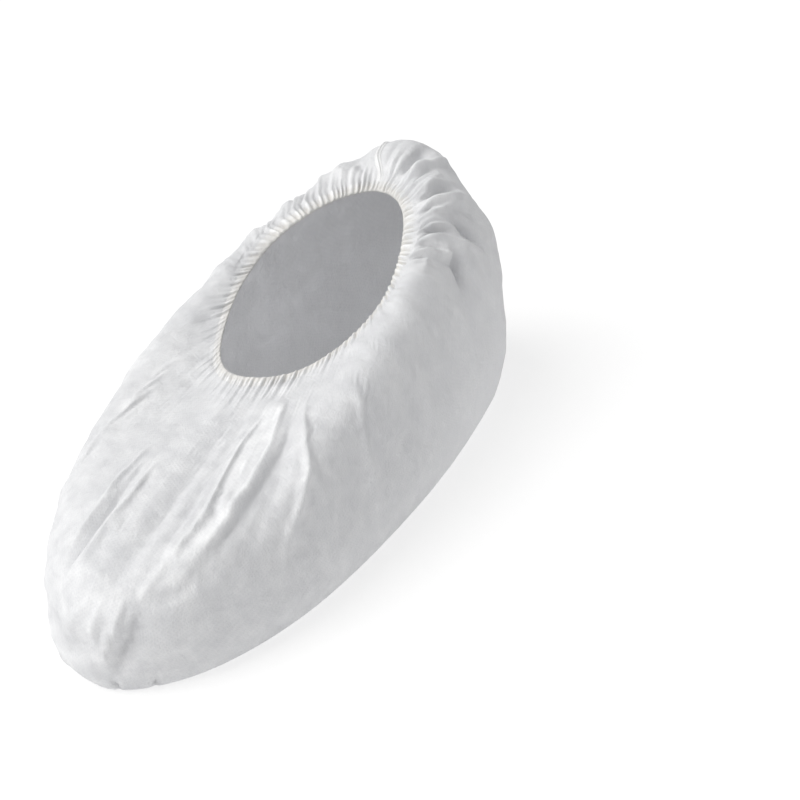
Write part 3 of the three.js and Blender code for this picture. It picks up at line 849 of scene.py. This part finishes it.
# finishes
clothFinish = {
    "colour": (0.955, 0.955, 0.955),
    "thinColour": (0.805, 0.81, 0.82),
    "throughColour": (0.93, 0.93, 0.94),
    "through": 0.42,         # share of the light that passes the cloth
    "throughSpread": 0.09,   # more where the web is thin
    "roughness": 0.82,
    "bondPitch": 1.5,        # mm between the pressed points
    "bondStretch": 1.25,
    "bondTurn": 45,
    "bondFade": (0.42, 0.18),   # from a point's edge to its middle
    "bondDepth": 0.6,
    "bondGloss": 0.22,       # the points are smoother
    "bondColour": (0.95, 0.953, 0.96),
    "fibreScale": 2600,
    "fibreLength": 0.06,
    "fibreTurns": (12, 74, 131),
    "fibreRange": (0.45, 0.75),
    "fibreShare": 0.55,
    "cloudScale": 150,       # thick and thin places of the web
    "patchScale": 42,
    "patchShare": 0.6,
    "webRange": (0.60, 1.02),
    "webShare": 0.45,
    "crumpleScale": 240,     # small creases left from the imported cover
    "crumpleDepth": 1.6,
    "singleAndHollowShade": (0.9, 0.9, 0.905),   # where the cloth lies single
    "layerThrough": 0.2,     # where the cloth lies single, and painted shade in hollows and valleys
    "edgeTint": None,        # colour of a rolled edge, and where it lies down the sheet, in metres
    "edgeFade": (1.4, 0.6),
}


def newMaterial(name):
    material = bpy.data.materials.new(name)
    material.use_nodes = True
    tree = material.node_tree
    shader = tree.nodes["Principled BSDF"]
    return material, tree, shader


def node(tree, kind, **values):
    made = tree.nodes.new(kind)
    for key, value in values.items():
        if hasattr(made, key):
            setattr(made, key, value)
        else:
            made.inputs[key.replace("_", " ")].default_value = value
    return made


# sockets of a Mix node that mixes colours
mixFactor, mixFirst, mixSecond, mixResult = 0, 6, 7, 2


def ranged(tree, source, span=(0, 1), result=(0, 1), kind="LINEAR"):
    made = node(tree, "ShaderNodeMapRange", interpolation_type=kind)
    made.inputs["From Min"].default_value, made.inputs["From Max"].default_value = span
    made.inputs["To Min"].default_value, made.inputs["To Max"].default_value = result
    tree.links.new(source, made.inputs["Value"])
    return made.outputs["Result"]


def scaledSum(tree, source, factor, added):
    made = node(tree, "ShaderNodeMath", operation="MULTIPLY_ADD")
    made.inputs[1].default_value = factor
    tree.links.new(source, made.inputs[0])
    tree.links.new(added, made.inputs[2])
    return made.outputs["Value"]


def larger(tree, first, second):
    made = node(tree, "ShaderNodeMath", operation="MAXIMUM")
    tree.links.new(first, made.inputs[0])
    tree.links.new(second, made.inputs[1])
    return made.outputs["Value"]


def tinted(tree, share, paint, colour):
    made = node(tree, "ShaderNodeMix", data_type="RGBA", blend_type="MULTIPLY")
    made.inputs[mixSecond].default_value = (*colour, 1)
    tree.links.new(share, made.inputs[mixFactor])
    tree.links.new(paint, made.inputs[mixFirst])
    return made.outputs[mixResult]


def noise(tree, place, **values):
    made = node(tree, "ShaderNodeTexNoise", **values)
    tree.links.new(place, made.inputs["Vector"])
    return made.outputs["Fac"]


def laid(tree, uv, turn, scale):
    made = node(tree, "ShaderNodeMapping")
    made.inputs["Rotation"].default_value = (0, 0, math.radians(turn))
    made.inputs["Scale"].default_value = (*scale, 1)
    tree.links.new(uv, made.inputs["Vector"])
    return made.outputs["Vector"]


def bondPoints(tree, uv, look):
    pitch = 1 / (look["bondPitch"] * mm)
    place = laid(tree, uv, look["bondTurn"], (pitch, pitch * look["bondStretch"]))
    bond = node(tree, "ShaderNodeTexVoronoi", voronoi_dimensions="2D", Scale=1.0, Randomness=0.2)
    tree.links.new(place, bond.inputs["Vector"])
    return ranged(tree, bond.outputs["Distance"], look["bondFade"], kind="SMOOTHSTEP")


def fibres(tree, uv, look):
    strands = []
    for turn in look["fibreTurns"]:
        place = laid(tree, uv, turn, (look["fibreScale"], look["fibreScale"] * look["fibreLength"]))
        strands.append(noise(tree, place, noise_dimensions="2D", Scale=1.0, Detail=2.0,
                             Roughness=0.6, Distortion=0.8))
    longest = larger(tree, larger(tree, strands[0], strands[1]), strands[2])
    return ranged(tree, longest, look["fibreRange"])


def rolledEdge(tree, uv, look):
    _, middle, half = look["edgeTint"]
    split = node(tree, "ShaderNodeSeparateXYZ")
    tree.links.new(uv, split.inputs["Vector"])
    apart = node(tree, "ShaderNodeMath", operation="SUBTRACT")
    apart.inputs[1].default_value = middle
    tree.links.new(split.outputs["Y"], apart.inputs[0])
    size = node(tree, "ShaderNodeMath", operation="ABSOLUTE")
    tree.links.new(apart.outputs["Value"], size.inputs[0])
    outer, inner = look["edgeFade"]
    return ranged(tree, size.outputs["Value"], (half * outer, half * inner), kind="SMOOTHSTEP")


def nonwoven(name, look):
    material, tree, shader = newMaterial(name)
    link = tree.links.new
    uv = node(tree, "ShaderNodeUVMap", uv_map="UVMap").outputs["UV"]
    place = node(tree, "ShaderNodeTexCoord").outputs["Object"]
    layersAndShade = node(tree, "ShaderNodeAttribute", attribute_name="layersAndShade").outputs["Fac"]
    dots = bondPoints(tree, uv, look)
    fine = fibres(tree, uv, look)

    # thick and thin places of the web
    cloud = noise(tree, place, Scale=look["cloudScale"], Detail=4.0, Roughness=0.62)
    patch = noise(tree, place, Scale=look["patchScale"], Detail=2.0, Roughness=0.5)
    thick = ranged(tree, scaledSum(tree, patch, look["patchShare"], cloud), look["webRange"])
    share = node(tree, "ShaderNodeMath", operation="MULTIPLY")
    share.inputs[1].default_value = look["webShare"]
    link(thick, share.inputs[0])
    even = scaledSum(tree, fine, look["fibreShare"], share.outputs["Value"])

    # colour
    web = node(tree, "ShaderNodeMix", data_type="RGBA")
    web.inputs[mixFirst].default_value = (*look["thinColour"], 1)
    web.inputs[mixSecond].default_value = (*look["colour"], 1)
    link(even, web.inputs[mixFactor])
    paint = tinted(tree, dots, web.outputs[mixResult], look["bondColour"])
    if look["edgeTint"]:
        paint = tinted(tree, rolledEdge(tree, uv, look), paint, look["edgeTint"][0])
    # painted shade: greyer where the cloth lies single and in fold, gather and rib hollows, whiter on their
    # ridges
    paint = tinted(tree, ranged(tree, layersAndShade, result=(1, 0)), paint, look["singleAndHollowShade"])
    link(paint, shader.inputs["Base Color"])
    rough = look["roughness"]
    link(ranged(tree, dots, result=(rough, rough - look["bondGloss"])), shader.inputs["Roughness"])
    shader.inputs["Specular IOR Level"].default_value = 0.3
    shader.inputs["Sheen Weight"].default_value = 0.12
    shader.inputs["Sheen Roughness"].default_value = 0.6

    # relief: bond points and fibres, then small creases
    bump = node(tree, "ShaderNodeBump", Strength=0.35, Distance=0.00012)
    link(scaledSum(tree, dots, -look["bondDepth"], fine), bump.inputs["Height"])
    crumple = noise(tree, place, Scale=look["crumpleScale"], Detail=3.0, Roughness=0.5, Distortion=1.0)
    creased = node(tree, "ShaderNodeBump", Strength=0.24, Distance=look["crumpleDepth"] * mm)
    link(crumple, creased.inputs["Height"])
    link(bump.outputs["Normal"], creased.inputs["Normal"])
    link(creased.outputs["Normal"], shader.inputs["Normal"])

    # light that passes the cloth
    glow = node(tree, "ShaderNodeBsdfTranslucent")
    glow.inputs["Color"].default_value = (*look["throughColour"], 1)
    link(creased.outputs["Normal"], glow.inputs["Normal"])
    most = look["through"] + look["throughSpread"]
    least = look["through"] - look["throughSpread"]
    passed = scaledSum(tree, layersAndShade, -look["layerThrough"], ranged(tree, thick, result=(most, least)))
    both = node(tree, "ShaderNodeMixShader")
    link(passed, both.inputs["Fac"])
    link(shader.outputs["BSDF"], both.inputs[1])
    link(glow.outputs["BSDF"], both.inputs[2])
    link(both.outputs["Shader"], tree.nodes["Material Output"].inputs["Surface"])
    return material


# floor, light and room
stageSet = {
    "floorSize": 10,
    "floorShade": 0.35,
    "floorGlow": 0.68,       # a light table under the cover
    "roomStrength": 0.47,
    "roomColour": (0.993, 0.996, 1, 1),
    "keyPlace": (-1.18, -1.26, 2.4),
    "keySize": 3.0,
    "keyPower": 99,
    "keyColour": (1.0, 0.998, 0.99),
    "keyAim": (0, 0, 0.03),
}


def plainFloor():
    material, _, shader = newMaterial("paleFloor")
    shader.inputs["Base Color"].default_value = (stageSet["floorShade"],) * 3 + (1,)
    shader.inputs["Emission Color"].default_value = (1, 1, 1, 1)
    shader.inputs["Emission Strength"].default_value = stageSet["floorGlow"]
    shader.inputs["Roughness"].default_value = 0.9
    shader.inputs["Specular IOR Level"].default_value = 0.1
    return material


sheet = makeCloth()
finishCloth(sheet)
hem = makeHem()
seam = makeSeam()

sheet.data.materials.append(nonwoven("nonwoven", clothFinish))
hemFinish = dict(
    clothFinish,
    colour=(0.96, 0.957, 0.948),
    through=0.32,
    bondPitch=1.2,
    # painted shade in the valleys between the hem's ribs, grey-beige
    singleAndHollowShade=(0.85, 0.835, 0.81),
    edgeTint=((1.0, 0.988, 0.963), 0.0077, 0.0022),
)
hem.data.materials.append(nonwoven("hemCloth", hemFinish))
seamFinish = dict(
    clothFinish,
    colour=(0.95, 0.95, 0.945),
    thinColour=(0.86, 0.86, 0.86),
    through=0.2,
    bondPitch=0.8,
    singleAndHollowShade=(1, 1, 1),
)
seam.data.materials.append(nonwoven("weldedCloth", seamFinish))

dressed = (
    (sheet, "fabric_body", "nonwoven"),
    (hem, "elastic_hem", "hem"),
    (seam, "heel_seam", "seam"),
)
for piece, cadNode, slot in dressed:
    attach(piece, "root")
    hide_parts(cadNode)

deselectAll()
bpy.ops.mesh.primitive_plane_add(size=stageSet["floorSize"])
floor = bpy.context.object
floor.name = "floor"
floor.data.materials.append(plainFloor())

world = bpy.data.worlds.new("softRoom")
bpy.context.scene.world = world
world.use_nodes = True
room = world.node_tree.nodes["Background"]
room.inputs["Color"].default_value = stageSet["roomColour"]
room.inputs["Strength"].default_value = stageSet["roomStrength"]
bpy.context.scene.view_settings.view_transform = "Standard"

deselectAll()
bpy.ops.object.light_add(type="AREA", location=stageSet["keyPlace"])
key = bpy.context.object
key.name = "keyLight"
key.data.size = stageSet["keySize"]
key.data.energy = stageSet["keyPower"]
key.data.color = stageSet["keyColour"]
key.rotation_euler = (Vector(stageSet["keyAim"]) - key.location).to_track_quat("-Z", "Y").to_euler()
